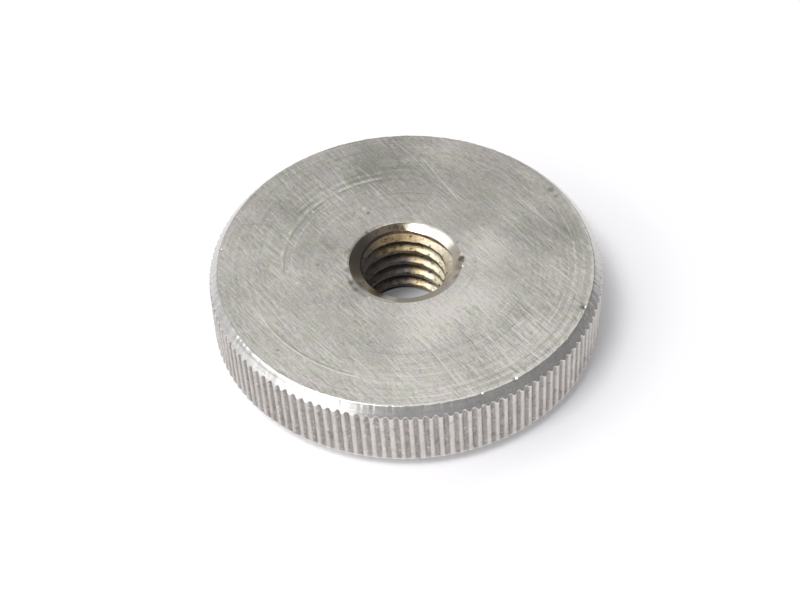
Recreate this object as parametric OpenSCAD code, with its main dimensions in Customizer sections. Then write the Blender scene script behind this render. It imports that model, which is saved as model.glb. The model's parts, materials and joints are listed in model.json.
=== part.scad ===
// Flat knurled nut: one turned steel disc with a straight-knurled rim,
// a bevel round each face and a tapped hole through the middle.
// Millimetres, +Z up, origin at the centre of the underside.

/* [Disc] */
// Diameter over the crests of the knurl
disc_d = 24; // [18:0.5:40]
// Height from the underside to the top face
disc_h = 5; // [4:0.25:12]

/* [Bevels] */
// Width of the bevel round the top face, measured along the radius
top_bevel_w = 0.54; // [0.2:0.02:1.2]
// Height of the bevel round the top face
top_bevel_h = 0.59; // [0.2:0.01:1.2]
// Width of the bevel round the underside, measured along the radius
under_bevel_w = 0.86; // [0.2:0.02:1.4]
// Height of the bevel round the underside
under_bevel_h = 0.9; // [0.2:0.02:1.4]

/* [Knurl] */
// Distance from one groove to the next, round the rim
knurl_pitch = 0.57; // [0.5:0.01:1.2]
// Width of a groove at its mouth
groove_w = 0.4; // [0.2:0.01:0.44]
// Width of a groove at its floor
groove_floor_w = 0.12; // [0.04:0.01:0.18]
// Depth of a groove below the crests
groove_depth = 0.12; // [0.06:0.01:0.2]

/* [Thread] */
// Nominal diameter of the thread
thread_d = 6; // [3:0.5:10]
// Pitch of the thread
thread_pitch = 1; // [0.5:0.05:1.5]

/* [Countersinks] */
// Included angle of both countersinks
sink_angle = 120; // [60:5:130]
// How far the top countersink reaches past the thread's nominal radius
top_sink_margin = 0.39; // [0.1:0.01:1]
// How far the deburred edge at the underside reaches past the bore's wall
under_sink_margin = 0.18; // [0.05:0.01:0.5]

/* [Hidden] */

// How far a cutting tool runs past the face that it cuts
overrun = 0.2;

disc_r = disc_d / 2;
under_face_r = disc_r - under_bevel_w;
top_face_r = disc_r - top_bevel_w;
top_shoulder_z = disc_h - top_bevel_h;

// Whole grooves that fit round the rim, in four equal quarters
quarters = 4;
groove_n = quarters * round(PI * disc_d / knurl_pitch / quarters);

// A standard 60 degree thread keeps 5/8 of its sharp height on each side
thread_sharp_h = thread_pitch * cos(30);
bore_r = thread_d / 2 - 5 / 8 * thread_sharp_h;
top_sink_r = thread_d / 2 + top_sink_margin;
under_sink_r = bore_r + under_sink_margin;

// Half section of the plain turned blank, from the axis outwards
module blank_section() {
    polygon([
        [0, 0],
        [under_face_r, 0],
        [disc_r, under_bevel_h],
        [disc_r, top_shoulder_z],
        [top_face_r, disc_h],
        [0, disc_h]
    ]);
}

module blank() {
    rotate_extrude($fn = groove_n)
        blank_section();
}

// One groove of the knurl in plan, its mouth centred on the origin and
// its flanks carried on outwards past the crests
module groove_plan() {
    flank_spread = (groove_w - groove_floor_w) / groove_depth;
    outer_w = groove_w + overrun * flank_spread;
    polygon([
        [-groove_depth, -groove_floor_w / 2],
        [overrun, -outer_w / 2],
        [overrun, outer_w / 2],
        [-groove_depth, groove_floor_w / 2]
    ]);
}

// The straight knurl: equal grooves that run the full height of the rim
module knurl_grooves() {
    step = 360 / groove_n;
    for (i = [0 : groove_n - 1])
        rotate(step * (i + 0.5))
            translate([disc_r, 0, -overrun])
                linear_extrude(height = disc_h + 2 * overrun)
                    groove_plan();
}

// A cone that opens from the bore's wall to mouth_r at height 0,
// carried on by the overrun above it
module countersink(mouth_r) {
    spread = tan(sink_angle / 2);
    depth = mouth_r / spread;
    translate([0, 0, -depth])
        cylinder(h = depth + overrun, r1 = 0, r2 = mouth_r + overrun * spread, $fn = 96);
}

// The hole as drilled for the tap, with both of its edges broken
module tapped_hole() {
    translate([0, 0, -overrun])
        cylinder(h = disc_h + 2 * overrun, r = bore_r, $fn = 96);
    translate([0, 0, disc_h])
        countersink(top_sink_r);
    mirror([0, 0, 1])
        countersink(under_sink_r);
}

module knurled_nut() {
    color("silver")
        difference() {
            blank();
            knurl_grooves();
            tapped_hole();
        }
}

knurled_nut();
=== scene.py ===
# %% [markdown]
# # A thin knurled nut, finished as turned steel
#
# A knurled nut of this kind is turned from bar: the lathe faces it, rolls or
# cuts a straight knurl round the rim, breaks both corners with a bevel, drills
# and countersinks the middle and taps it. The solid model already holds all of
# that but the thread. This script gives it the thread, the small rounds and
# dents that a hard edge gets in use, and the look of each surface.
#
# Everything below is worked out in millimetres, as on a drawing, and turned
# into metres when it goes into a mesh.

# %% Load the frame
import json
import math
from functools import cached_property

import bpy
import numpy as np
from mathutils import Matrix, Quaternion, Vector


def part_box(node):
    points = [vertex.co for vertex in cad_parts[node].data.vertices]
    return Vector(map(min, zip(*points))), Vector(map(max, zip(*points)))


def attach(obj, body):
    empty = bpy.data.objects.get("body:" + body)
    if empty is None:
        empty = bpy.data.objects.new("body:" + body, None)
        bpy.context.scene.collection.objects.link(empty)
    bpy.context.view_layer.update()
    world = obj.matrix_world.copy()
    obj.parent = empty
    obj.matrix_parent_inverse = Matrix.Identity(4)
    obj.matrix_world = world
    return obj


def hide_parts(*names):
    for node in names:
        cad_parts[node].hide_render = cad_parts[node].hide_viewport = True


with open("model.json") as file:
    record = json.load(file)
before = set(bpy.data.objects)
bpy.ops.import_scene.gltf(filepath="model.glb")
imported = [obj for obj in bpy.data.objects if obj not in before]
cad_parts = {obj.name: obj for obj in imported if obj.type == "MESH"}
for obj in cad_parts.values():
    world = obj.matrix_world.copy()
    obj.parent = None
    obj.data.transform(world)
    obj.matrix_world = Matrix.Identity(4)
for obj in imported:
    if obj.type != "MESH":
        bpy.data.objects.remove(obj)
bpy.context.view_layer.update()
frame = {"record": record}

MM = 0.001

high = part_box("knurled_nut")[1]
mounts = {mount["name"]: mount for mount in frame["record"]["mounts"]}
disc_r = high.x / MM
disc_h = high.z / MM
bore_r = mounts["tapped_hole"]["dims"]["r_mm"]
print(f"disc radius {disc_r:.3f} mm, height {disc_h:.3f} mm, bore radius {bore_r:.3f} mm")

# %% [markdown]
# ## The camera
#
# A small part is drawn largest when a longish lens looks down on it at about
# 45 degrees: the face opens into a full ellipse and the knurl still shows its
# height. The camera stands in front of the nut (on the -Y side) and aims a
# little short of the middle. It is rolled by two degrees, as a hand-held
# camera is.

# %% Camera
# eye and aim in millimetres, roll in degrees, lens in millimetres
camera_eye = Vector((0.0, -78.43, 85.06))
camera_aim = Vector((-0.395, -3.199, 5.0))
camera_roll = -2.09
camera_lens = 82.91

camera_data = bpy.data.cameras.new("camera")
camera_data.lens = camera_lens
camera_data.clip_start = MM
camera = bpy.data.objects.new("camera", camera_data)
camera.location = camera_eye * MM
looking = (camera_aim - camera_eye).to_track_quat("-Z", "Y")
camera.rotation_mode = "QUATERNION"
camera.rotation_quaternion = looking @ Quaternion((0, 0, 1), math.radians(camera_roll))
bpy.context.scene.collection.objects.link(camera)
bpy.context.scene.camera = camera
print(f"camera {(camera_aim - camera_eye).length:.1f} mm from its aim")

# %% [markdown]
# ## The rim
#
# The rim is one surface with two parameters: the azimuth round the nut and a
# row that runs from the top face down over the bevel, down the knurl and over
# the lower bevel. Cutting grooves out of a cylinder with booleans would give
# ragged notches on the bevels, so the rows are fitted to the shape instead: at
# each azimuth the rows of the knurl end exactly where that groove runs out on
# the bevel, and the notches come out crisp. No knurl is perfect: this one
# leans by a degree or two, its grooves differ a little in place and depth, and
# its crests are gritty, so a few seeded random numbers go into the shape.

# %% Sizes of the rim
# rounded flanks make the grooves a little wider at the mouth than the solid's
groove_n = 132
groove_w = 0.48
groove_floor_w = 0.1
groove_depth = 0.12
top_bevel_w, top_bevel_h = 0.54, 0.59
under_bevel_w, under_bevel_h = 0.86, 0.9
edge_round = 0.06
# what is uneven: places and depths of the grooves, edge of the face, lean in degrees, grit
groove_stray = 0.014
depth_spread = 0.1
depth_limits = (0.72, 1.15)
edge_wander = 0.012
knurl_lean = 1.9
knurl_grit = 0.008

knurl_pitch = 2 * math.pi * disc_r / groove_n
print(f"{groove_n} grooves, {knurl_pitch:.3f} mm apart")

# %% The knurl in plan
TAU = 2 * math.pi
dice_seed = 7
flank_points = np.array([0.0, 0.27, 0.5, 0.73, 1.0])


def groove_shape(offset, depth):
    """How far the surface lies below the crests at an offset along the rim from
    a groove's middle: nothing outside the mouth, the full depth on the floor,
    and an S-curve down each flank, 3 s^2 - 2 s^3, as a rolled groove has."""
    flank = (groove_w - groove_floor_w) / 2
    s = np.clip((groove_w / 2 - np.abs(offset)) / flank, 0, 1)
    return depth * s * s * (3 - 2 * s)


def rim_samples():
    """Offsets from the middle of a groove, in millimetres: the floor, the
    points up each flank and the middle of the crest, twelve to a groove."""
    mouth, floor = groove_w / 2, groove_floor_w / 2
    half = floor + (mouth - floor) * flank_points
    return np.concatenate([-half[::-1], [0.0], half, [knurl_pitch / 2]])


dice = np.random.default_rng(dice_seed)
offsets = rim_samples()
groove_turn = TAU * (np.arange(groove_n) + 0.5) / groove_n
groove_turn = groove_turn + dice.normal(0, groove_stray, groove_n) / disc_r
each_depth = groove_depth * (1 + dice.normal(0, depth_spread, groove_n)).clip(*depth_limits)
rim_turn = (groove_turn[:, None] + offsets[None, :] / disc_r).ravel()
rim_drop = groove_shape(np.tile(offsets, groove_n), np.repeat(each_depth, len(offsets)))
print(f"{len(rim_turn)} samples round the rim")

# %% Drifting values
knots_per_groove = 3


def wander(count, knots, amount):
    """A value for each sample round a ring that drifts smoothly: random knots,
    evenly spaced, joined by a periodic smooth step."""
    values = dice.normal(0, amount, knots)
    place = np.arange(count) * knots / count
    left = place.astype(int)
    s = place - left
    s = s * s * (3 - 2 * s)
    return values[left] * (1 - s) + values[(left + 1) % knots] * s


print(f"an edge drifts between {knots_per_groove * groove_n} knots round the rim")

# %% Rows of the rim, from the top face to the underside
# rings on the flat face, in millimetres in from the corner
face_rings = np.array([0.6, 0.42, 0.3, 0.2, 0.13, 0.08, 0.04])
corner_points = 4
# how far down the bevel, and how far down the knurl, each row lies
bevel_shares = np.array([0.25, 0.5, 0.75, 0.9, 1.0])[:, None]
wall_shares = np.array([0.01, 0.12, 0.25, 0.4, 0.55, 0.7, 0.85, 0.99])[:, None]


def bevel_rows(width, height, drop, stray):
    """Points of one corner in section, from the flat face out to the knurl, as
    (radius, depth below the face). Rings on the flat come first. The flat and
    the bevel meet in an arc of radius edge_round, whose middle strays along the
    face. The bevel ends where it meets a surface that lies drop below the
    crests, at a depth of height * (1 - drop / width)."""
    tilt = math.atan2(height, width)
    corner_r = disc_r - width + stray
    tangent_r = corner_r - edge_round * math.tan(tilt / 2)
    turn = np.linspace(0, tilt, corner_points)[:, None]
    flat_r = tangent_r - face_rings[:, None]
    arc_r = tangent_r + edge_round * np.sin(turn)
    arc_z = edge_round * (1 - np.cos(turn)) * np.ones_like(drop)
    end_r, end_z = disc_r - drop, height * (1 - drop / width)
    rows_r = arc_r[-1] + bevel_shares * (end_r - arc_r[-1])
    rows_z = arc_z[-1] + bevel_shares * (end_z - arc_z[-1])
    return np.vstack([flat_r, arc_r, rows_r]), np.vstack([0 * flat_r, arc_z, rows_z])


def rim_surface():
    """Radius and height of every row at every azimuth. The knurl's rows share
    out the height between the two bevels in the same way at each azimuth, and
    those between its ends are gritty: each point lies a little way inwards."""
    stray = wander(len(rim_drop), knots_per_groove * groove_n, edge_wander)
    top_r, top_depth = bevel_rows(top_bevel_w, top_bevel_h, rim_drop, stray)
    under_r, under_depth = bevel_rows(under_bevel_w, under_bevel_h, rim_drop, stray[::-1])
    start, end = disc_h - top_depth[-1], under_depth[-1]
    wall_z = start + wall_shares * (end - start)
    grit = np.abs(dice.normal(0, knurl_grit, wall_z.shape))
    grit[[0, -1]] = 0
    wall_r = disc_r - rim_drop - grit
    radius = np.vstack([top_r, wall_r, under_r[::-1]])
    height = np.vstack([disc_h - top_depth, wall_z, under_depth[::-1]])
    return radius, height, len(top_r), len(wall_z)


rim_r, rim_z, top_rows, wall_rows = rim_surface()
lean_turn = -math.tan(math.radians(knurl_lean)) * (rim_z - disc_h) / disc_r
rim_az = rim_turn[None, :] + lean_turn
print(f"{len(rim_r)} rows down the rim, {wall_rows} of them on the knurl")

# %% [markdown]
# ## The tapped hole
#
# A thread is easy to describe as a radius: at any azimuth and height, the wall
# of the hole is as far from the axis as the thread's section says, and the
# section climbs by one pitch for each turn. The countersink is a cone, and
# where a cone and a thread cut the same metal, the larger radius wins. Taking
# the larger of the two gives the spiral edge where the first turn runs out on
# the cone, which is hard to draw by hand. The chamfer was cut by hand: its
# lower edge is not level, and a small step follows it all the way round.

# %% The thread in section
thread_d = 6.0
thread_pitch = 1.0
top_sink_margin = 0.39
under_sink_margin = 0.18
sink_angle = 120
# where the lower edge of the first crest starts: depth and azimuth
first_crest_depth = 0.866
first_crest_azimuth = 50
# azimuth in degrees and depth of the lower edge of the top chamfer
seam_azimuths = [5, 35, 63, 90, 120, 192, 240, 304, 330]
seam_depths = [0.27, 0.31, 0.32, 0.257, 0.224, 0.38, 0.44, 0.4, 0.31]
seam_spread = 12
seam_samples = 9
seam_step = 0.04
# how far the thread's edges stray, in turns, and the wave that mixes it, per mm
thread_stray = 0.007
stray_wave = 3

top_sink_r = thread_d / 2 + top_sink_margin
under_sink_r = bore_r + under_sink_margin
sink_tilt = math.radians(90 - sink_angle / 2)
sink_slope = 1 / math.tan(sink_tilt)
crest_low_edge = disc_h - first_crest_depth
crest_edge_az = math.radians(first_crest_azimuth)
print(f"thread root radius {thread_d / 2:.3f} mm, chamfer {2 * top_sink_r:.2f} mm across")

# %% Radius of the hole's wall


def seam_depth(turn):
    """Depth at which the chamfer ends: straight lines between the listed
    places, averaged over seam_spread degrees to each side."""
    near = np.degrees(turn)[:, None] + np.linspace(-seam_spread, seam_spread, seam_samples)
    return np.interp(near, seam_azimuths, seam_depths, period=360).mean(axis=1)


def thread_radius(turn, height, stray):
    """Radius of a 60 degree internal thread. The section in one pitch, from a
    crest's lower edge upwards: flat crest for 1/4, flank out to the root for
    5/16, flat root for 1/8 and flank back for 5/16. A worn tap leaves uneven
    edges: they stray by two drifting values, mixed by a wave down the hole."""
    phase = (height - crest_low_edge) / thread_pitch - (turn - crest_edge_az) / TAU
    phase = phase + stray[0] * np.cos(stray_wave * height) + stray[1] * np.sin(stray_wave * height)
    phase = phase - np.floor(phase)
    stops = [0, 1 / 4, 9 / 16, 11 / 16, 1]
    radii = [bore_r, bore_r, thread_d / 2, thread_d / 2, bore_r]
    return np.interp(phase, stops, radii)


def thread_lead(turn, height, seam):
    """The larger of the thread and the two cones at its ends: a 45 degree lead
    that starts one small step outside the chamfer's lower edge, and the broken
    edge at the underside."""
    depth = disc_h - height
    top_lead = top_sink_r - sink_slope * seam + seam_step - (depth - seam)
    under_cone = under_sink_r - sink_slope * height
    stray = [wander(hole_samples, stray_knots, thread_stray) for _ in range(2)]
    return np.maximum(thread_radius(turn, height, stray), np.maximum(top_lead, under_cone))


# %% Rows of the hole, from the top face to the underside
hole_samples = 264
stray_knots = hole_samples // 4
# rings on the flat face, in millimetres out from the mouth
mouth_rings = np.array([0.75, 0.55, 0.42, 0.32, 0.24, 0.17, 0.11, 0.05])
mouth_points = 5
top_mouth_round = 0.2
under_mouth_round = 0.1
chamfer_steps = 8
thread_steps = 98
# the thread's first row lies a tenth of a step below the chamfer's last
first_step = 0.1
# rows below the chamfer that have the seam's finish
seam_rows = 4


def mouth_rows(mouth_r, corner_round):
    """Radius and depth of the rings round one mouth of the hole: rings on the
    flat face, then the points of a round into the cone."""
    turn = np.linspace(0, sink_tilt, mouth_points)
    tangent_r = mouth_r + corner_round * math.tan(sink_tilt / 2)
    radius = np.concatenate([tangent_r + mouth_rings, tangent_r - corner_round * np.sin(turn)])
    depth = np.concatenate([0 * mouth_rings, corner_round * (1 - np.cos(turn))])
    return radius[:, None] * np.ones(hole_samples), depth[:, None] * np.ones(hole_samples)


hole_turn = np.linspace(0, TAU, hole_samples, endpoint=False)
seam = seam_depth(hole_turn)
top_mouth_r, top_mouth_depth = mouth_rows(top_sink_r, top_mouth_round)
under_mouth_r, under_mouth_depth = mouth_rows(under_sink_r, under_mouth_round)
chamfer_share = np.arange(1, chamfer_steps + 1)[:, None] / chamfer_steps
chamfer_depth = top_mouth_depth[-1] + chamfer_share * (seam - top_mouth_depth[-1])
thread_share = (np.arange(thread_steps)[:, None] + first_step) / thread_steps
thread_z = disc_h - seam - thread_share * (disc_h - seam - under_mouth_depth[-1])
hole_z = np.vstack([disc_h - top_mouth_depth, disc_h - chamfer_depth, thread_z, under_mouth_depth[::-1]])
hole_az = np.broadcast_to(hole_turn, hole_z.shape)
thread_wall_r = thread_lead(np.broadcast_to(hole_turn, thread_z.shape), thread_z, seam)
chamfer_r = top_sink_r - sink_slope * chamfer_depth
hole_r = np.vstack([top_mouth_r, chamfer_r, thread_wall_r, under_mouth_r[::-1]])
print(f"{len(hole_z)} rows down the hole, radius {hole_r.min():.3f} to {hole_r.max():.3f} mm")

# %% [markdown]
# ## Dents
#
# A used nut has been dropped and levered. Each dent is a small smooth hollow or
# raised burr, added to the two surfaces as a bell-shaped push along the radius
# and the height, centred on a point of the corner that was hit.

# %% Dents in the corners
# azimuth in degrees, radius, height, reach, push along the radius, push along the height
rim_dents = [
    (337.8, 11.4, 5.0, 0.12, -0.06, -0.1),
    (323.9, 11.44, 5.0, 0.07, 0.0, -0.05),
    (302.2, 11.44, 5.0, 0.09, -0.04, -0.08),
    (291.0, 11.44, 5.0, 0.06, -0.03, -0.05),
    (172.4, 11.42, 5.0, 0.08, -0.03, -0.05),
    (166.7, 11.46, 5.0, 0.06, -0.03, -0.03),
    (226.0, 12.0, 4.35, 0.06, -0.04, 0.0),
    (262.0, 12.0, 4.4, 0.07, -0.05, 0.0),
    (285.0, 12.0, 4.4, 0.06, -0.04, 0.0),
    (309.5, 12.0, 4.38, 0.07, -0.05, 0.0),
]
hole_dents = [
    (1.5, 3.34, 4.95, 0.2, 0.06, -0.06),
    (350.0, 3.44, 4.97, 0.09, 0.06, -0.09),
    (6.0, 3.44, 4.98, 0.05, 0.03, -0.04),
    (130.0, 3.42, 4.98, 0.06, 0.02, -0.04),
]


def press_dents(turn, radius, height, dents):
    """Adds each dent to a surface: a push times exp(-(distance / reach)^2)."""
    x, y = radius * np.cos(turn), radius * np.sin(turn)
    for azimuth, dent_r, dent_z, reach, push_r, push_z in dents:
        angle = math.radians(azimuth)
        away = (x - dent_r * math.cos(angle)) ** 2 + (y - dent_r * math.sin(angle)) ** 2
        away = away + (height - dent_z) ** 2
        bell = np.exp(-away / reach ** 2)
        radius = radius + push_r * bell
        height = height + push_z * bell
    return radius, height


rim_r, rim_z = press_dents(rim_az, rim_r, rim_z, rim_dents)
hole_r, hole_z = press_dents(hole_az, hole_r, hole_z, hole_dents)
rim_z = rim_z.clip(0, disc_h)
hole_z = hole_z.clip(0, disc_h)
print(f"{len(rim_dents)} dents on the rim and {len(hole_dents)} at the hole")

# %% [markdown]
# ## One closed mesh
#
# The two surfaces share nothing yet. The flat faces join them: a ring of the
# rim has six points for each point of the hole's ring, so each sector of a
# face is one fan. The mesh is then closed, and its volume can be compared with
# the solid's.

# %% Points and faces of a grid


def points(turn, radius, height):
    """Cylinder coordinates in millimetres to x, y, z in metres, row by row."""
    xyz = np.stack([radius * np.cos(turn), radius * np.sin(turn), height], axis=-1)
    return xyz.reshape(-1, 3) * MM


def grid_quads(rows, columns, first, outward):
    """Corner numbers of the quads between the rows of a closed ring grid. They
    run down and then round, which faces away from the axis, or the other way."""
    row, column = np.meshgrid(np.arange(rows - 1), np.arange(columns), indexing="ij")
    right = (column + 1) % columns
    corners = [row * columns + column, (row + 1) * columns + column,
               (row + 1) * columns + right, row * columns + right]
    if not outward:
        corners = corners[::-1]
    return first + np.stack(corners, axis=-1).reshape(-1, 4)


rim_n, hole_n = rim_r.shape[1], hole_r.shape[1]
rim_points = points(rim_az, rim_r, rim_z)
hole_points = points(hole_az, hole_r, hole_z)
hole_first = len(rim_points)
rim_quads = grid_quads(len(rim_r), rim_n, 0, True)
hole_quads = grid_quads(len(hole_r), hole_n, hole_first, False)
print(f"{len(rim_quads)} quads on the rim, {len(hole_quads)} in the hole")

# %% Fans between the two rings of a flat face


def fan_triangles(outer_first, outer_n, inner_first, inner_n, upward):
    """Triangles of a flat ring between an outer ring of points and an inner one
    that has a whole fraction as many: each inner point looks at its own run of
    outer edges, and one more triangle closes the gap to the next inner point."""
    run = outer_n // inner_n
    outer = np.arange(outer_n)
    near = np.minimum((outer + run // 2) // run, inner_n) % inner_n
    after = (outer + 1) % outer_n
    wide = np.stack([inner_first + near, outer_first + outer, outer_first + after], axis=-1)
    last = (np.arange(inner_n) * run + run - run // 2) % outer_n
    inner = np.arange(inner_n)
    thin = np.stack([inner_first + inner, outer_first + last, inner_first + (inner + 1) % inner_n], axis=-1)
    triangles = np.vstack([wide, thin])
    return triangles if upward else triangles[:, ::-1]


last_rim_row = (len(rim_r) - 1) * rim_n
last_hole_row = hole_first + (len(hole_r) - 1) * hole_n
top_fan = fan_triangles(0, rim_n, hole_first, hole_n, True)
under_fan = fan_triangles(last_rim_row, rim_n, last_hole_row, hole_n, False)
print(f"{len(top_fan)} triangles on each flat face")

# %% Which finish each row has
FACE, UNDER, BEVEL, KNURL, CHAMFER, SEAM, THREAD = range(7)


def row_finish(rows, columns, bands):
    """Material number of each quad of a grid. Bands are (row where it starts,
    material number), from the first row to the last."""
    row = np.repeat(np.arange(rows - 1), columns)
    number = np.zeros_like(row)
    for start, finish in bands:
        number[row >= start] = finish
    return number


ring_n, mouth_n = len(face_rings), len(mouth_rings)
rim_bands = [(0, FACE), (ring_n, BEVEL), (top_rows - 1, KNURL), (top_rows + wall_rows, BEVEL),
             (len(rim_r) - 1 - ring_n, UNDER)]
seam_row = len(top_mouth_r) + chamfer_steps - 1
hole_bands = [(0, FACE), (mouth_n, CHAMFER), (seam_row, SEAM), (seam_row + seam_rows, THREAD),
              (len(hole_r) - len(under_mouth_r), CHAMFER), (len(hole_r) - 1 - mouth_n, UNDER)]
all_points = np.vstack([rim_points, hole_points])
all_blocks = [
    (rim_quads, row_finish(len(rim_r), rim_n, rim_bands)),
    (hole_quads, row_finish(len(hole_r), hole_n, hole_bands)),
    (top_fan, FACE),
    (under_fan, UNDER),
]
print(f"the thread's finish starts at row {seam_row + seam_rows} of {len(hole_r)}")

# %% The mesh itself
crease_angle = 35


def make_mesh(name, places, blocks):
    """A mesh from points and blocks of faces. Each block is an array of corner
    numbers, one face to a row, with the material number of each face."""
    corners = np.concatenate([faces.ravel() for faces, _ in blocks])
    sizes = np.concatenate([np.full(len(faces), faces.shape[1]) for faces, _ in blocks])
    finish = np.concatenate([np.broadcast_to(number, len(faces)) for faces, number in blocks])
    mesh = bpy.data.meshes.new(name)
    mesh.vertices.add(len(places))
    mesh.vertices.foreach_set("co", places.astype(np.float32).ravel())
    mesh.loops.add(len(corners))
    mesh.loops.foreach_set("vertex_index", corners.astype(np.int32))
    mesh.polygons.add(len(sizes))
    mesh.polygons.foreach_set("loop_start", (np.cumsum(sizes) - sizes).astype(np.int32))
    mesh.polygons.foreach_set("material_index", finish.astype(np.int32))
    mesh.polygons.foreach_set("use_smooth", np.ones(len(sizes), dtype=bool))
    mesh.update(calc_edges=True)
    mesh.set_sharp_from_angle(angle=math.radians(crease_angle))
    return mesh


def mesh_volume(places, blocks):
    """Volume inside closed faces: the sum of a . (b x c) / 6 over triangles."""
    total = 0.0
    for faces, _ in blocks:
        for corner in range(1, faces.shape[1] - 1):
            a, b, c = (places[faces[:, n]] for n in (0, corner, corner + 1))
            total += np.einsum("ij,ij->i", a, np.cross(b, c)).sum() / 6
    return total


nut_mesh = make_mesh("turned_nut", all_points, all_blocks)
nut = bpy.data.objects.new("turned_nut", nut_mesh)
bpy.context.scene.collection.objects.link(nut)
triangles = 2 * (len(rim_quads) + len(hole_quads)) + len(top_fan) + len(under_fan)
print(f"{triangles} triangles, {mesh_volume(all_points, all_blocks) / MM ** 3:.1f} mm3")

# %% [markdown]
# ## Shader maths as arithmetic
#
# A node graph for worn steel is mostly sums and products of patterns. Written
# as nodes it is long and hard to read, so a small class stands for one output
# socket, and its operators add the Math nodes. A second class is a node tree,
# with one method that adds any other node, and a third is a material.

# %% Wires


class Wire:
    """One output socket. Arithmetic on wires and numbers adds Math nodes."""

    def __init__(self, graph, socket):
        self.graph, self.socket = graph, socket

    def maths(self, operation, *values):
        return self.graph.node("ShaderNodeMath", {"operation": operation}, dict(enumerate(values)))

    def __add__(self, other):
        return self.maths("ADD", self, other)

    def __sub__(self, other):
        return self.maths("SUBTRACT", self, other)

    def __rsub__(self, other):
        return self.maths("SUBTRACT", other, self)

    def __mul__(self, other):
        return self.maths("MULTIPLY", self, other)

    def __abs__(self):
        return self.maths("ABSOLUTE", self)

    __radd__, __rmul__ = __add__, __mul__

    def least(self, other):
        return self.maths("MINIMUM", self, other)

    def most(self, other):
        return self.maths("MAXIMUM", self, other)

    def ramp(self, start, end):
        """0 below start, 1 above end, and a smooth step between; start may be
        the larger, and the step then runs down."""
        rise = {"Value": self, "From Min": min(start, end), "From Max": max(start, end)}
        step = self.graph.node("ShaderNodeMapRange", {"interpolation_type": "SMOOTHSTEP"}, rise)
        return step if start < end else 1 - step

    def slope(self, start, end, first, last):
        """first below start, last above end, and a straight line between."""
        limits = {"Value": self, "From Min": start, "From Max": end, "To Min": first, "To Max": last}
        return self.graph.node("ShaderNodeMapRange", None, limits)


# %% Node trees and materials


class Graph:
    """A node tree, and one method that adds any node to it."""

    def __init__(self, tree):
        self.tree = tree

    def node(self, kind, settings=None, inputs=None, output=0):
        """Any node: its settings first, then its sockets by name or number, each
        given a value or a wire. Returns a wire from one of its outputs."""
        made = self.tree.nodes.new(kind)
        for key, value in (settings or {}).items():
            setattr(made, key, value)
        for key, value in (inputs or {}).items():
            self.feed(made.inputs[key], value)
        return Wire(self, made.outputs[output])

    def feed(self, socket, value):
        """Links a wire to a socket, or sets the socket to a plain value."""
        if isinstance(value, Wire):
            self.tree.links.new(value.socket, socket)
        else:
            socket.default_value = value

    def parts(self, vector):
        """The x, y and z of a vector, as three wires."""
        split = self.tree.nodes.new("ShaderNodeSeparateXYZ")
        self.feed(split.inputs[0], vector)
        return [Wire(self, socket) for socket in split.outputs]

    def vector(self, x, y, z):
        return self.node("ShaderNodeCombineXYZ", None, {0: x, 1: y, 2: z})


class Finish(Graph):
    """A material, and the patterns and colours of its surface."""

    def __init__(self, name):
        self.material = bpy.data.materials.new(name)
        self.material.use_nodes = True
        super().__init__(self.material.node_tree)
        self.sockets = self.tree.nodes["Principled BSDF"].inputs

    def vector_maths(self, operation, inputs, output=0):
        return self.node("ShaderNodeVectorMath", {"operation": operation}, inputs, output)

    @cached_property
    def place(self):
        """Object coordinates in millimetres, as a vector."""
        metres = self.node("ShaderNodeTexCoord", output="Object")
        return self.vector_maths("SCALE", {0: metres, "Scale": 1 / MM})

    @cached_property
    def xyz(self):
        return self.parts(self.place)

    @cached_property
    def flat(self):
        """The place with its height taken out: a vector from the axis."""
        return self.vector(self.xyz[0], self.xyz[1], 0.0)

    @cached_property
    def radius(self):
        return self.vector_maths("LENGTH", {0: self.flat}, "Value")

    @cached_property
    def outward(self):
        """The unit vector that points straight out from the axis."""
        return self.vector_maths("NORMALIZE", {0: self.flat})

    def noise(self, scale, detail=2.0, roughness=0.5, vector=None):
        """Soft random patches, from about 0.2 to 0.8 with a middle of 0.5, about
        scale of them to a millimetre."""
        inputs = {"Vector": vector or self.place, "Scale": scale, "Detail": detail, "Roughness": roughness}
        return self.node("ShaderNodeTexNoise", None, inputs)

    def tint(self, share, first, second):
        """A colour between two colours; either may be a wire."""
        mix = self.tree.nodes.new("ShaderNodeMix")
        mix.data_type = "RGBA"
        for key, value in (("Factor_Float", share), ("A_Color", first), ("B_Color", second)):
            socket = next(s for s in mix.inputs if s.identifier == key)
            self.feed(socket, value if isinstance(value, Wire) or key == "Factor_Float" else (*value, 1.0))
        return Wire(self, next(s for s in mix.outputs if s.identifier == "Result_Color"))

    def bump(self, height, distance):
        """A normal from a pattern that stands distance millimetres high."""
        inputs = {"Height": height, "Distance": distance * MM}
        return self.node("ShaderNodeBump", None, inputs)

    def surface(self, colour, roughness, normal=None, metallic=1.0):
        """Feeds the shader, which is plain metal unless told otherwise, and gives
        back the finished material."""
        self.feed(self.sockets["Base Color"], colour)
        self.feed(self.sockets["Metallic"], metallic)
        self.feed(self.sockets["Roughness"], roughness)
        if normal:
            self.feed(self.sockets["Normal"], normal)
        return self.material


print("shader maths is ready")

# %% [markdown]
# ## Patterns that a lathe and a cloth leave
#
# Three patterns make the look of a used turned face. The tool leaves rings,
# which depend on the radius. Emery cloth and use leave straight scratches,
# long one way and narrow the other. Handling leaves cloudy patches. Each is a
# noise, stretched by the coordinates that it reads. The single marks that stand
# out from all of these are arcs, straight strokes and spots, each with a place;
# a few of them are painted light and shade.

# %% Directions, rings and scratches


def on_circle(radius, azimuth):
    """x and y of the point at a radius and an azimuth in degrees."""
    turn = math.radians(azimuth)
    return radius * math.cos(turn), radius * math.sin(turn)


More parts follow.
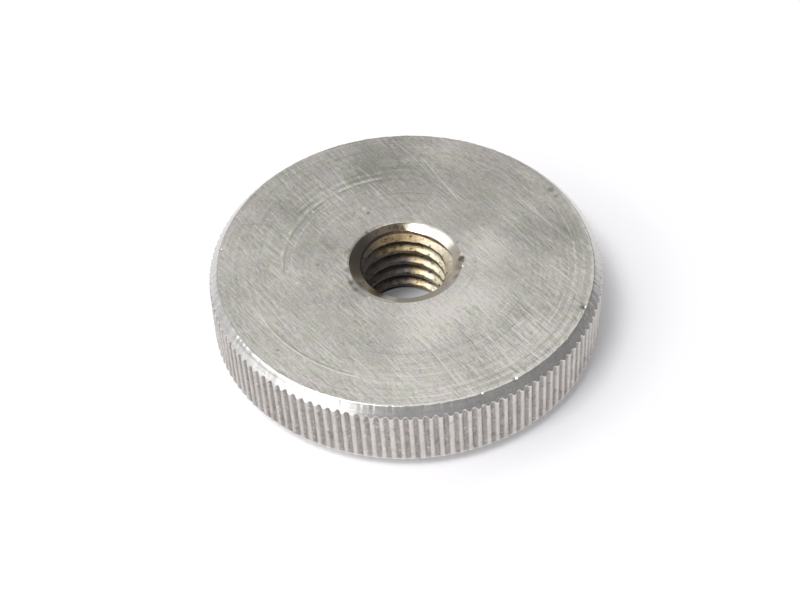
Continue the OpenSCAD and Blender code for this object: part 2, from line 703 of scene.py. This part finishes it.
def facing(finish, azimuth):
    """Cosine of the angle between the outward direction and an azimuth."""
    x, y, _ = finish.parts(finish.outward)
    cosine, sine = on_circle(1, azimuth)
    return x * cosine + y * sine


def rings(finish, per_mm, along, detail=1.0):
    """Noise that changes fast along the radius and slowly round the axis: its
    coordinates are radius * per_mm and the outward vector times along."""
    x, y, _ = finish.parts(finish.outward)
    stretched = finish.vector(x * along, y * along, finish.radius * per_mm)
    return finish.noise(1.0, detail, vector=stretched)


def turned(finish, vector, angle):
    """A vector as seen from axes that are turned by an angle round Z."""
    inputs = {"Vector": vector, "Angle": -math.radians(angle)}
    return finish.node("ShaderNodeVectorRotate", {"rotation_type": "Z_AXIS"}, inputs)


def scratches(finish, angle, per_mm, length, detail=1.0):
    """Noise stretched along a line at an angle to +X: per_mm changes across it
    and one change in each length along it."""
    u, v, w = finish.parts(turned(finish, finish.place, angle))
    return finish.noise(1.0, detail, vector=finish.vector(u * (1 / length), v * per_mm, w))


# %% Single marks
# cosine over which the end of an arc fades
arc_fade = 0.02


def spot(finish, x, y, z, reach):
    """1 at a point and 0 beyond its reach."""
    away = finish.vector_maths("DISTANCE", {0: finish.place, 1: (x, y, z)}, "Value")
    return away.ramp(reach, 0.0)


def spots(finish, height, table):
    """Sum of spots at one height, each (x, y, reach, strength)."""
    total = 0.0
    for x, y, reach, strength in table:
        total = total + spot(finish, x, y, height, reach) * strength
    return total


def arc(finish, at, width, azimuth, span):
    """1 on an arc of one radius, and 0 beyond half its width or its span."""
    line = abs(finish.radius - at).ramp(width / 2, 0.0)
    edge = math.cos(math.radians(span / 2))
    return line * facing(finish, azimuth).ramp(edge - arc_fade, edge + arc_fade)


def stroke(finish, x, y, angle, length, width):
    """1 along a straight line through a point, and 0 past its length or width."""
    shifted = finish.vector_maths("SUBTRACT", {0: finish.place, 1: (x, y, 0.0)})
    u, v, _ = finish.parts(turned(finish, shifted, angle))
    return abs(u).ramp(length / 2, length / 4) * abs(v).ramp(width / 2, 0.0)


# %% [markdown]
# ## The faces
#
# The faces were turned and then rubbed on emery cloth, always the same way, so
# most scratches run at one angle. Each scratch is a tiny groove: it shows
# brighter or darker than the metal beside it, and it tilts the reflection. Both
# come from the same noise here, once as colour and once as bump. The lathe's
# rings show best near the rim, where the cloth pressed least.

# %% Marks on the top face
# azimuth of the sanding, of the longer hairlines and of the few scratches across
sand_angle = -57.0
hair_angle = sand_angle + 4
cross_angle = sand_angle + 95
# x, y, reach and change of brightness; the three bright ones by the front and right of the hole and the
# wide dark one at (-5.4, 2.6) are painted light and shade, the rest cloudy tone
cloudy_tone_and_painted_light = [
    (-1.0, 8.8, 5.5, -0.34), (-7.0, 6.5, 4.0, -0.14), (8.8, 1.8, 3.6, -0.22), (6.2, 6.8, 4.0, -0.14),
    (1.2, -4.7, 3.2, 0.44), (4.2, -3.0, 3.2, 0.44), (4.9, 0.8, 2.6, 0.34), (0.5, -9.8, 5.0, 0.22),
    (7.0, -7.6, 3.4, 0.1), (-7.6, -6.6, 4.4, 0.1), (-2.0, -6.8, 3.0, -0.1), (6.6, -4.6, 2.4, -0.16),
    (3.0, 7.8, 3.0, -0.12), (-4.2, 3.6, 2.4, 0.1), (-9.8, 1.6, 3.0, 0.1), (4.4, 3.9, 2.4, -0.12),
    (-3.4, -2.6, 1.6, -0.22), (-5.4, 2.6, 5.0, -0.16), (9.8, -1.6, 2.6, 0.16), (-2.4, 8.2, 1.8, -0.16),
    (-6.8, 4.6, 1.6, -0.16), (2.4, 9.9, 2.6, 0.22), (-7.0, -1.0, 2.0, 0.14), (-4.4, 6.4, 1.8, 0.16),
    (7.9, -5.4, 2.2, 0.14),
]
# radius, width, azimuth, span and change of brightness; the dark one at 11.36 mm facing 248 degrees is a
# painted shadow line just inside the face's edge
arcs_and_edge_shadow = [
    (9.62, 0.12, 228, 46, 3.0), (9.5, 0.1, 230, 40, -1.1), (7.6, 0.26, 138, 76, 0.7),
    (7.38, 0.18, 140, 90, -0.7), (6.95, 0.16, 150, 60, 0.4), (8.35, 0.18, 112, 46, -0.3),
    (7.88, 0.18, 118, 64, -0.6), (8.1, 0.22, 128, 56, 0.45), (6.05, 0.14, 100, 50, -0.5),
    (5.8, 0.12, 120, 80, 0.26), (6.3, 0.12, 128, 50, 0.24), (10.3, 0.14, 318, 96, 0.5),
    (10.55, 0.12, 312, 90, -0.5), (10.82, 0.16, 322, 100, 0.6), (11.05, 0.1, 306, 90, -0.5),
    (11.22, 0.1, 318, 60, 0.5), (9.9, 0.12, 330, 70, 0.4), (9.55, 0.12, 304, 64, -0.4),
    (9.25, 0.1, 290, 60, 0.26), (8.7, 0.1, 285, 60, 0.28), (8.3, 0.12, 300, 70, -0.3),
    (7.9, 0.12, 290, 60, 0.24), (7.55, 0.12, 296, 80, -0.34), (6.9, 0.1, 282, 50, -0.24),
    (9.55, 0.12, 178, 44, -0.3), (7.2, 0.12, 190, 30, -0.24), (4.3, 0.34, 350, 50, -0.24),
    (7.55, 0.12, 350, 30, 0.44), (7.8, 0.12, 354, 30, -0.3), (11.36, 0.1, 248, 44, -0.6),
    (10.1, 0.12, 8, 40, -0.3), (10.4, 0.12, 2, 44, 0.34), (10.8, 0.12, 352, 30, -0.3),
    (3.5, 0.2, 168, 110, -1.6), (3.72, 0.34, 212, 34, -1.2), (3.5, 0.14, 236, 40, -0.8),
]
# x, y, angle, length, width and change of brightness
long_scratches = [
    (2.4, 7.2, -62, 5.4, 0.12, 0.6), (1.0, 8.9, -58, 4.2, 0.1, 0.46), (5.6, 1.6, -55, 4.4, 0.1, 0.66),
    (-3.7, 7.1, -60, 2.6, 0.1, 0.5), (-1.9, 6.6, -56, 2.0, 0.1, 0.56), (8.6, 3.4, -54, 5.4, 0.12, 0.44),
    (4.4, -4.1, -57, 2.2, 0.1, 0.6), (4.1, -3.9, -57, 1.8, 0.08, -0.6), (5.2, -7.2, -60, 3.6, 0.1, 0.7),
    (2.4, -9.2, -62, 3.4, 0.1, 0.7), (3.2, -9.9, -60, 2.6, 0.1, 0.6), (8.3, -3.7, -52, 2.4, 0.1, 0.6),
    (9.2, -1.2, -50, 2.2, 0.1, 0.66), (-6.6, 6.0, -56, 4.2, 0.1, 0.4), (-8.2, -3.4, -58, 4.2, 0.1, 0.34),
    (-4.6, -7.2, -50, 2.6, 0.09, 0.46), (6.6, -5.4, 38, 1.8, 0.1, 0.4), (7.4, -8.0, -48, 1.1, 0.14, 0.8),
    (6.6, 3.0, -58, 6.0, 0.1, 0.34), (0.2, 4.9, -55, 1.8, 0.08, 0.4), (-7.4, 2.6, -58, 3.0, 0.09, 0.36),
    (1.4, -7.4, -60, 2.4, 0.09, 0.46), (3.6, -6.6, -57, 2.8, 0.09, -0.46),
    (-2.6, -8.4, -54, 2.4, 0.08, 0.4), (7.0, -1.6, -54, 3.0, 0.09, -0.36),
    (-9.6, -1.0, -60, 2.6, 0.09, 0.3), (6.0, -9.0, -40, 0.9, 0.12, -0.7),
    (5.2, -8.3, -42, 0.9, 0.1, 0.7), (4.8, 7.9, -56, 3.4, 0.1, 0.3), (-0.4, 10.0, -58, 2.4, 0.1, 0.3),
]
# x, y, reach and change of brightness; the bright ones at (3.46, -0.62) and (6.1, -9.5) are painted glints
specks_and_painted_glints = [
    (-6.57, -1.51, 0.14, 1.6), (-5.67, 4.59, 0.12, 1.5), (-2.23, 4.34, 0.17, -1.3),
    (-2.5, 4.75, 0.12, 0.9), (-5.35, -0.05, 0.17, -0.6), (-7.62, -6.9, 0.13, -1.0),
    (10.42, -4.25, 0.3, -1.4), (3.46, -0.62, 0.13, 1.8), (9.3, 5.9, 0.34, -0.7), (9.6, 5.3, 0.24, -0.6),
    (3.44, 0.16, 0.26, -1.8), (-3.62, 0.9, 0.22, -0.4), (6.1, -9.5, 0.1, 1.2), (-6.9, 6.9, 0.1, -0.7),
    (-9.4, 3.7, 0.09, -0.7), (-5.0, -5.6, 0.09, -0.6),
]
# x, y, reach and strength of the brown grime round the hole
grime_spots = [
    (3.42, 0.18, 0.26, 1.0), (3.46, -0.12, 0.16, 0.8), (-3.31, -1.66, 0.34, 0.5),
    (-3.05, -2.24, 0.3, 0.4), (-3.4, 1.1, 0.26, 0.4), (-2.35, 2.62, 0.2, 0.5), (-3.6, -0.6, 0.3, 0.3),
    (3.2, 1.5, 0.2, 0.3),
]
# strength of all the arcs, the painted shadow line among them
arc_strength = 0.55
# x, y, reach and strength of the place that was rubbed most
rubbed_place = (5.0, -6.5, 8.0, 0.3)
# the light ragged band along the rim: azimuth, and radii between which it grows
ragged_azimuth = 318
ragged_start, ragged_end = 11.26, 11.44
print(f"{len(arcs_and_edge_shadow)} arcs, {len(long_scratches)} scratches, {len(specks_and_painted_glints)} specks")

# %% Finish of the faces


def face_marks(finish):
    """Sum of the single marks on the top face, as a change of brightness; some are painted light and shade.
    """
    marks = spots(finish, disc_h, cloudy_tone_and_painted_light + specks_and_painted_glints)
    worn = 0.25 + 1.1 * finish.noise(1.1, 3.0, 0.6).ramp(0.38, 0.62)
    for at, width, azimuth, span, change in arcs_and_edge_shadow:
        marks = marks + arc(finish, at, width, azimuth, span) * worn * (arc_strength * change)
    for x, y, angle, length, width, change in long_scratches:
        marks = marks + stroke(finish, x, y, angle, length, width) * change
    return marks


def steel_face(name, marked):
    """A faced and rubbed side of the disc, with or without single marks."""
    finish = Finish(name)
    grain = finish.noise(7.0, 3.0, 0.7) - 0.5
    mottle = finish.noise(2.2, 3.0, 0.6) - 0.5
    fine = scratches(finish, sand_angle, per_mm=14.0, length=0.55, detail=2.0) - 0.5
    hair = scratches(finish, hair_angle, per_mm=10.0, length=1.7, detail=2.0)
    fleck = scratches(finish, sand_angle, per_mm=11.0, length=1.0)
    long = scratches(finish, hair_angle, per_mm=4.5, length=3.0, detail=2.0) - 0.5
    cross = scratches(finish, cross_angle, per_mm=9.0, length=0.6) - 0.5
    tool = rings(finish, per_mm=7.5, along=2.4, detail=2.0) - 0.5
    rim_side = finish.radius.ramp(6.0, 10.8)
    rubbed = 0.55 + finish.noise(0.45, 3.0).ramp(0.35, 0.62) * 0.7
    if marked:
        rubbed = rubbed + spots(finish, disc_h, [rubbed_place])
    clouds = finish.noise(0.5, 4.0) - 0.5
    scratched = fine * 0.95 + long * 0.6 + cross * 0.25 + (hair - 0.5) * 0.6
    turning = tool * (0.25 + 0.4 * rim_side)
    shade = 0.5 + scratched * rubbed + grain * 1.05 + mottle * 0.3 + turning + clouds * 0.45
    shade = shade + (hair.ramp(0.62, 0.72) - hair.ramp(0.36, 0.26)) * 0.2 * rubbed
    shade = shade + (fleck.ramp(0.64, 0.74) - fleck.ramp(0.34, 0.25)) * 0.24 * rubbed
    if marked:
        ragged = (finish.radius + grain * 0.7 + mottle * 0.4).ramp(ragged_start, ragged_end)
        ragged = ragged * facing(finish, ragged_azimuth).ramp(0.1, 0.6)
        shade = shade + face_marks(finish) + ragged * 0.55
    olive = finish.noise(0.8, 3.0, 0.65).ramp(0.3, 0.7)
    pink = finish.noise(1.5, 4.0, 0.7).ramp(0.38, 0.66)
    dark = finish.tint(olive, (0.37, 0.35, 0.33), (0.352, 0.356, 0.3))
    light = finish.tint(olive, (0.85, 0.808, 0.778), (0.814, 0.822, 0.712))
    light = finish.tint(pink * 0.5, light, (0.89, 0.8, 0.8))
    colour = finish.tint(shade, dark, light)
    if marked:
        grime = spots(finish, disc_h, grime_spots)
        colour = finish.tint(grime * (1.3 + 2.0 * grain), colour, (0.1, 0.075, 0.05))
    roughness = 0.38 - 0.16 * clouds
    return finish.surface(colour, roughness, finish.bump(scratched + turning * 0.8 + grain * 0.5, 0.01))


def lay_on(material):
    """Gives the nut its next material, in the order of the finish numbers."""
    nut_mesh.materials.append(material)
    print(f"{material.name}: {len(material.node_tree.nodes)} nodes")


lay_on(steel_face("faced_steel", True))
lay_on(steel_face("faced_underside", False))

# %% [markdown]
# ## Bevels, knurl and hole
#
# The bevels were cut last with a sharp tool and stayed bright, and are darker
# on one side. The knurl was never polished: its crests are rubbed clean by
# fingers, its grooves hold old grease and are painted darker as shade, and its
# ends are painted lighter, partly burnished and partly a painted highlight. The
# chamfer at the mouth of the hole is as bright as the bevels at the back, dull
# with dust and dry oil at the front, with a painted glint at the front left, and
# black with soot on one side. The thread below it is stained brown, worst on
# that same side, where a screw stood in it, and on that side, low down and in
# its roots, it is also painted black as shade. What differs from side to side is
# mixed by the cosine of the angle to an azimuth, so it fades round the part and
# leaves no edge.

# %% Finish of the bevels
# radius, width, azimuth and span of the streak that the tool's chatter left
chatter_streak = (11.62, 0.16, 223, 26)
# azimuth of the side where the bevel is darker
darker_bevel_azimuth = 338


def steel_bevel():
    """The turned bevels: smoother than the face, with a few rings, one dark
    streak and one side darker."""
    finish = Finish("bevel_steel")
    turning = rings(finish, per_mm=12.0, along=4.0, detail=2.0) - 0.5
    patches = finish.noise(1.6, 3.0) - 0.5
    grain = finish.noise(9.0, 3.0, 0.6) - 0.5
    hue = finish.noise(1.1, 1.0)
    streak = arc(finish, *chatter_streak)
    # darker towards azimuth 338
    darker_bevel_side = facing(finish, darker_bevel_azimuth).ramp(0.8, 1.0)
    shade = 0.5 + 0.9 * turning + 0.8 * patches + 1.1 * grain - 0.9 * streak - 0.35 * darker_bevel_side
    dark = finish.tint(hue, (0.525, 0.51, 0.465), (0.5, 0.495, 0.505))
    light = finish.tint(hue, (0.75, 0.74, 0.695), (0.71, 0.705, 0.705))
    colour = finish.tint(shade, dark, light)
    roughness = 0.25 + 0.14 * patches
    return finish.surface(colour, roughness, finish.bump(turning + grain * 0.6, 0.002))


lay_on(steel_bevel())

# %% Finish of the knurl
greasy_azimuth = 214
# azimuth, height and reach of the lumps of old grease
grease_lumps = [
    (226.0, 3.1, 0.16), (226.2, 2.6, 0.18), (226.5, 1.2, 0.45), (231.7, 1.6, 0.42), (232.2, 1.1, 0.34),
    (235.2, 1.0, 0.28), (240.5, 1.1, 0.16), (288.5, 2.3, 0.14), (301.0, 1.2, 0.22), (309.0, 3.4, 0.2),
    (296.5, 1.1, 0.18), (316.0, 2.2, 0.22), (150.0, 1.6, 0.4), (60.0, 2.8, 0.3), (20.0, 1.5, 0.35),
]


def steel_knurl():
    """Bright crests with burrs, grooves darkened by grease and painted shade, ends painted lighter as
    burnish and highlight, and old grease.
    """
    finish = Finish("knurl_steel")
    x, y, z = finish.xyz
    drop = disc_r - finish.radius
    groove = drop.ramp(0.01, 0.11)
    patches = finish.noise(1.8, 3.0) - 0.5
    streaks = finish.noise(1.0, 2.0, vector=finish.vector(x * 7.0, y * 7.0, z * 0.9)) - 0.5
    grain = finish.noise(8.0, 3.0) - 0.5
    hue = finish.noise(0.9, 3.0, 0.65).ramp(0.3, 0.7)
    mouth_z = disc_h - top_bevel_h * (1 - drop * (1 / top_bevel_w))
    foot_z = under_bevel_h * (1 - drop * (1 / under_bevel_w))
    # both ends of the knurl painted lighter: partly burnished metal, partly a painted highlight along the
    # edge
    burnish_and_edge_highlight = (mouth_z - z).ramp(0.1, 0.02).most((z - foot_z).ramp(0.1, 0.02))
    shade = 0.5 + 0.8 * patches + 1.2 * streaks + 1.1 * grain
    dark = finish.tint(hue, (0.52, 0.475, 0.46), (0.5, 0.49, 0.44))
    crest = finish.tint(shade, dark, (0.72, 0.68, 0.65))
    # the grooves are darker: old grease, and painted shade in the recess
    groove_grease_and_shade = finish.tint(shade, (0.29, 0.27, 0.255), (0.46, 0.435, 0.415))
    colour = finish.tint(groove, crest, groove_grease_and_shade)
    greasy = facing(finish, greasy_azimuth).ramp(0.7, 1.0)
    colour = finish.tint(greasy * (0.22 + 0.5 * groove), colour, (0.33, 0.31, 0.285))
    colour = finish.tint(burnish_and_edge_highlight * 0.8, colour, (0.86, 0.84, 0.82))
    burrs = finish.noise(5.0, 3.0, 0.7).ramp(0.58, 0.66)
    colour = finish.tint(burrs * 0.45, colour, (0.9, 0.88, 0.85))
    dirt = (finish.noise(2.6, 4.0, 0.65) + groove * 0.08).ramp(0.58, 0.74) * 0.45
    for azimuth, height, reach in grease_lumps:
        lump = spot(finish, *on_circle(disc_r, azimuth), height, reach)
        dirt = dirt.most(lump * (0.3 + 0.7 * groove))
    colour = finish.tint(dirt, colour, (0.13, 0.12, 0.105))
    roughness = 0.36 + 0.12 * groove
    return finish.surface(colour, roughness, finish.bump(streaks + grain, 0.022))


lay_on(steel_knurl())

# %% Finish of the chamfer
# middles of the sooty side, of its thickest soot, and of the worn, the filmed
# and the dusty stretch, and of the painted glint
soot_azimuth, thick_azimuth = 150, 165
worn_azimuth, film_azimuth, dust_azimuth, glint_azimuth = 284, 354, 280, 247
# azimuth and reach of the dirty places on the chamfer, and their depth
chamfer_dirt = [(352.0, 0.6), (3.0, 0.4), (3.0, 0.34), (12.0, 0.3), (336.0, 0.4), (215.0, 0.8),
                (190.0, 0.9)]
chamfer_dirt_depth = 0.1


def steel_chamfer():
    """The chamfer at the hole's mouth: bright where it was cut last, filmed and
    dusty at the front, with a narrow painted glint at the front left, and black
    with soot on the stained side. Dust isn't metal, so it also takes the mirror away."""
    finish = Finish("chamfer_steel")
    patches = finish.noise(2.2, 4.0) - 0.5
    drift = finish.noise(1.0, 2.0) - 0.5
    soot = (facing(finish, soot_azimuth) + drift * 0.2).ramp(0.32, 0.5)
    thick = facing(finish, thick_azimuth).ramp(0.55, 0.95)
    worn = facing(finish, worn_azimuth).ramp(0.7, 1.0)
    filmed = facing(finish, film_azimuth).ramp(0.78, 1.0)
    dusty = facing(finish, dust_azimuth).ramp(0.7, 0.95)
    # a narrow painted glint, almost white, at the front left
    rubbed = facing(finish, glint_azimuth).ramp(0.97, 0.995)
    clean = finish.tint(0.5 + patches, (0.58, 0.56, 0.52), (0.74, 0.725, 0.69))
    sooty = finish.tint(thick, (0.66, 0.55, 0.44), (0.12, 0.105, 0.092))
    mottled = finish.noise(3.2, 4.0, 0.65).ramp(0.5, 0.62)
    sooty = finish.tint(mottled * 0.6, sooty, (0.19, 0.145, 0.085))
    colour = finish.tint(worn * 0.42, clean, (0.33, 0.31, 0.275))
    colour = finish.tint(filmed * 0.9, colour, (0.65, 0.59, 0.475))
    colour = finish.tint(dusty, colour, (0.31, 0.293, 0.252))
    colour = finish.tint(soot, colour, sooty)
    colour = finish.tint(rubbed * 0.35, colour, (0.95, 0.93, 0.88))
    dirt = [(*on_circle(top_sink_r, azimuth), reach, 1.0) for azimuth, reach in chamfer_dirt]
    grime = spots(finish, disc_h - chamfer_dirt_depth, dirt)
    colour = finish.tint((grime + 0.8 * patches) * 0.75, colour, (0.17, 0.135, 0.105))
    roughness = (0.15 + 0.12 * patches + grime * 0.4 + dusty * 0.25).least(0.7)
    return finish.surface(colour, roughness, finish.bump(patches, 0.006), metallic=1.0 - 0.75 * dusty)


lay_on(steel_chamfer())

# %% Finish of the seam and of the thread
# middle of the side where the seam and the thread are stained and also painted darker as shade
stain_and_shade_azimuth = 178


def brown_seam():
    """Old oil and rust, caught in the small step below the chamfer, with painted shade in that step, darker
    still on the stained side.
    """
    finish = Finish("seam_grime")
    patches = finish.noise(3.0, 3.0, 0.6)
    rusty = finish.tint(patches.ramp(0.35, 0.65), (0.045, 0.025, 0.015), (0.15, 0.085, 0.045))
    # stained: the side where the seam is painted darker as shade, along with its stain
    stained = facing(finish, stain_and_shade_azimuth).ramp(0.1, 0.6)
    colour = finish.tint(stained, rusty, (0.035, 0.028, 0.022))
    roughness = 0.5 + 0.2 * patches
    return finish.surface(colour, roughness, metallic=0.3)


def stained_thread():
    """The thread: cream where it is clean, through golden brown, to black. The
    black is partly stain and partly painted shade, thickest on one side, low
    down and in the roots, and small black pits are eaten through it."""
    finish = Finish("stained_thread")
    drift = finish.noise(1.0, 2.0) - 0.5
    side = facing(finish, stain_and_shade_azimuth) + drift * 0.5
    depth = disc_h - finish.xyz[2]
    # root: painted shade with some grime in the thread's roots, weaker on the clean side
    root = finish.radius.ramp(2.6, 2.84) * depth.ramp(0.7, 0.86) * (0.15 + 0.65 * side.ramp(-0.8, 0.1))
    patches = finish.noise(2.2, 4.0) - 0.5
    pits = finish.noise(4.2, 3.0, 0.6).ramp(0.59, 0.65)
    fleck = finish.noise(8.0, 3.0, 0.65) - 0.5
    cream = finish.tint(0.5 + patches + fleck * 1.6, (0.46, 0.38, 0.25), (0.8, 0.75, 0.61))
    gold = finish.tint(0.5 + patches + fleck * 1.4, (0.28, 0.19, 0.1), (0.56, 0.45, 0.265))
    black = finish.tint(0.5 + patches, (0.105, 0.096, 0.09), (0.2, 0.185, 0.17))
    blotches = finish.noise(2.8, 4.0, 0.65).ramp(0.48, 0.62) * side.ramp(-0.1, 0.6)
    gold = finish.tint(blotches * 0.6, gold, (0.13, 0.1, 0.06))
    thread = finish.tint(side.ramp(-0.75, -0.1), cream, gold)
    # black here is stain and painted shade, more on one side and lower down the hole
    thread = finish.tint((side + depth.ramp(0.8, 2.4)).ramp(0.55, 1.1).most(root), thread, black)
    colour = finish.tint(pits * 0.8, thread, (0.06, 0.04, 0.025))
    roughness = 0.42 + 0.15 * patches
    return finish.surface(colour, roughness, finish.bump(patches + fleck, 0.014))


lay_on(brown_seam())
lay_on(stained_thread())

# %% Hand the piece to the frame
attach(nut, "root")
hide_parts("knurled_nut")
print(f"{nut.name} stands in for the plain solid")

# %% [markdown]
# ## Floor and light
#
# Steel shows its surroundings, so the lights are shapes to be mirrored as much
# as lamps. A small strong patch of sky throws the short soft shadow to the
# right. The window below it, its top and its sill whiten the left of the bevel
# and the right of the countersink, and a weak lamp stands behind. The world is
# a plain grey, darker on the right and straight overhead. The nut lies on white
# paper, with a grey shadow painted on it where the hole stands, darkest towards the back left.

# %% Floor
floor_half = 1.5
floor_glow = 0.085
# radii between which the painted shadow under the hole fades, and x / 2 - y where it is darkest and
# lightest
shadow_inside, shadow_outside = 2.6, 3.2
shadow_darkest, shadow_lightest = -2.7, -1.1

floor_mesh = bpy.data.meshes.new("floor")
corners = [(-floor_half, -floor_half, 0), (floor_half, -floor_half, 0),
           (floor_half, floor_half, 0), (-floor_half, floor_half, 0)]
floor_mesh.from_pydata(corners, [], [(0, 1, 2, 3)])
floor = bpy.data.objects.new("floor", floor_mesh)
bpy.context.scene.collection.objects.link(floor)


def white_paper():
    """White paper with a shadow painted under the hole. What the lens, a reflection or
    glass sees of it glows a little, so it looks white and still shows the shadow."""
    paper = Finish("white_paper")
    x, y, _ = paper.xyz
    # a shadow painted on the paper under the hole, darkest towards the back left
    painted_shadow = paper.tint((0.5 * x - y).ramp(shadow_darkest, shadow_lightest), (0.13, 0.13, 0.14), (0.62, 0.63, 0.66))
    colour = paper.tint(paper.radius.ramp(shadow_outside, shadow_inside), (0.93, 0.92, 0.94), painted_shadow)
    seen = 0.0
    for ray in ("Is Camera Ray", "Is Glossy Ray", "Is Transmission Ray"):
        seen = seen + paper.node("ShaderNodeLightPath", output=ray)
    paper.feed(paper.sockets["Specular IOR Level"], 0.1)
    paper.feed(paper.sockets["Emission Color"], (1.0, 1.0, 1.0, 1.0))
    paper.feed(paper.sockets["Emission Strength"], seen.least(1.0) * floor_glow)
    return paper.surface(colour, 0.9, metallic=0.0)


floor_mesh.materials.append(white_paper())
print(f"floor {2 * floor_half:.1f} m across")

# %% Lamps
# name, azimuth, elevation, distance, width and height in metres, radiance
lamps = [
    ("skylight", 225, 65, 0.6, 0.23, 0.21, 11.4),
    ("window", 206, 33, 0.5, 0.54, 0.15, 2.4),
    ("window_top", 172, 54, 0.5, 0.3, 0.24, 1.1),
    ("window_sill", 180, 15, 0.5, 0.56, 0.14, 0.35),
    ("overhead", 90, 64, 0.6, 0.34, 0.26, 1.0),
]


def soft_lamp(name, azimuth, elevation, distance, width, height, radiance):
    """A rectangular lamp that faces the nut from a direction in degrees. An
    area lamp of P watts and A square metres has a radiance of P / (pi A)."""
    lamp = bpy.data.lights.new(name, "AREA")
    lamp.shape = "RECTANGLE"
    lamp.size, lamp.size_y = width, height
    lamp.energy = radiance * math.pi * width * height
    source = bpy.data.objects.new(name, lamp)
    turn, rise = math.radians(azimuth), math.radians(elevation)
    out = Vector((math.cos(turn) * math.cos(rise), math.sin(turn) * math.cos(rise), math.sin(rise)))
    source.location = out * distance
    source.rotation_mode = "QUATERNION"
    source.rotation_quaternion = out.to_track_quat("Z", "Y")
    bpy.context.scene.collection.objects.link(source)
    print(f"{name}: {lamp.energy:.2f} W")


for lamp_values in lamps:
    soft_lamp(*lamp_values)

# %% World
# how the world's light changes with x, z and y of the direction: from, to, and
# the strength at each end
world_sideways = (-1.0, 1.0, 0.62, 0.34)
world_upward = (0.8, 0.96, 1.0, 0.35)
world_rearward = (-0.1, 0.7, 0.98, 1.03)
world_colour = (1.0, 1.0, 1.01, 1.0)

world = bpy.data.worlds.new("studio")
world.use_nodes = True
sky = Graph(world.node_tree)
x, y, z = sky.parts(sky.node("ShaderNodeTexCoord", output="Generated"))
strength = x.slope(*world_sideways) * z.slope(*world_upward) * y.slope(*world_rearward)
background = sky.tree.nodes["Background"]
sky.feed(background.inputs["Strength"], strength)
sky.feed(background.inputs["Color"], world_colour)
bpy.context.scene.world = world
bpy.context.scene.view_settings.view_transform = "Standard"
print(f"world strength {world_sideways[2]} on the left, {world_sideways[3]} on the right")
